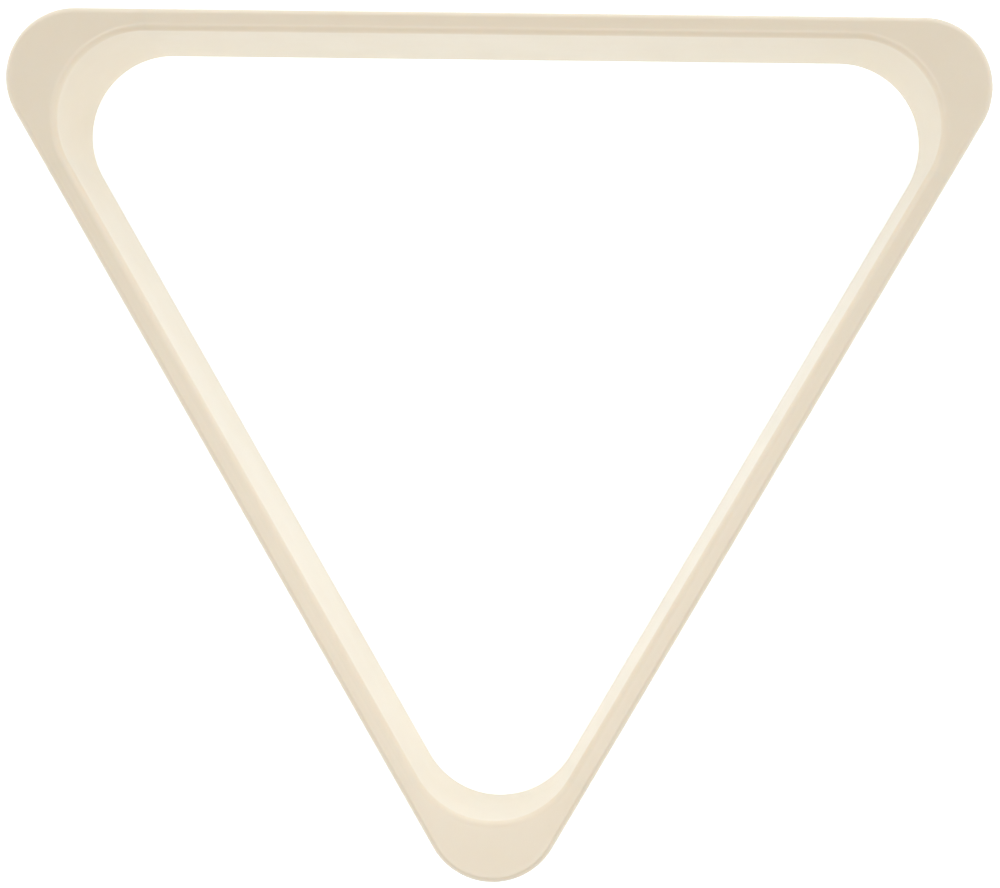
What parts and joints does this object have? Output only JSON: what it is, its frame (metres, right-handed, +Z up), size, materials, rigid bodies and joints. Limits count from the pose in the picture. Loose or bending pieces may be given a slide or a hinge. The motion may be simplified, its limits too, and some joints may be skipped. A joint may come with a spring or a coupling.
{
  "type": "triangle rack",
  "caption": "Flat triangular ring with rounded corners for racking pool balls: slim straight rails with a smooth drafted ball side, and broad crescent corner lands.",
  "frame": {"origin": "middle of the bounding box of the base, on the surface the rack rests on", "axes": "+Z up; the straight back rail lies along X at the +Y side and the apex corner points along -Y"},
  "size_m": [0.3232, 0.2862, 0.05],
  "materials": {
    "ivory_plastic": "fine satin moulding texture, ivory"
  },
  "bodies": {
    "root": {"back_rail": "ivory_plastic", "left_rail": "ivory_plastic", "right_rail": "ivory_plastic", "left_corner": "ivory_plastic", "apex_corner": "ivory_plastic", "right_corner": "ivory_plastic"}
  },
  "joints": []
}
